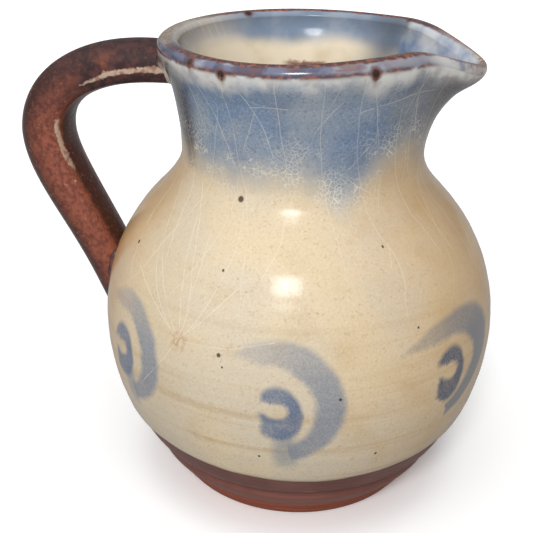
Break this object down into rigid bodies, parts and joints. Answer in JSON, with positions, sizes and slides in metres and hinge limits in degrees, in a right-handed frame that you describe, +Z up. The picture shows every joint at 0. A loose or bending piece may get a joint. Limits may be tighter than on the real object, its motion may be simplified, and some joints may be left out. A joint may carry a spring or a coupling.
{
  "type": "ceramic jug",
  "caption": "Round-bellied hand-thrown ceramic jug with a flared neck, a pulled pouring lip, a luted strap handle and a glaze that ends above a bare clay foot, for pouring drinks.",
  "frame": {"origin": "centre of the flat base, on the table", "axes": "+Z up, +X towards the pouring lip, the handle towards -X, +Y across the jug"},
  "size_m": [0.1605, 0.1298, 0.1514],
  "materials": {
    "bare_clay": "fired red-brown clay, smooth and nearly matt",
    "cream_glaze": "glossy crazed cream glaze with a blue band on the neck and blue brush marks",
    "iron_glaze": "glossy dark iron-brown, redder towards the lower end",
    "pale_slip": "fired pale clay slip"
  },
  "bodies": {
    "root": {"thrown_body": "bare_clay", "glaze_coat": "cream_glaze", "handle": "iron_glaze", "upper_slip_join": "pale_slip", "lower_slip_join": "pale_slip"}
  },
  "joints": []
}
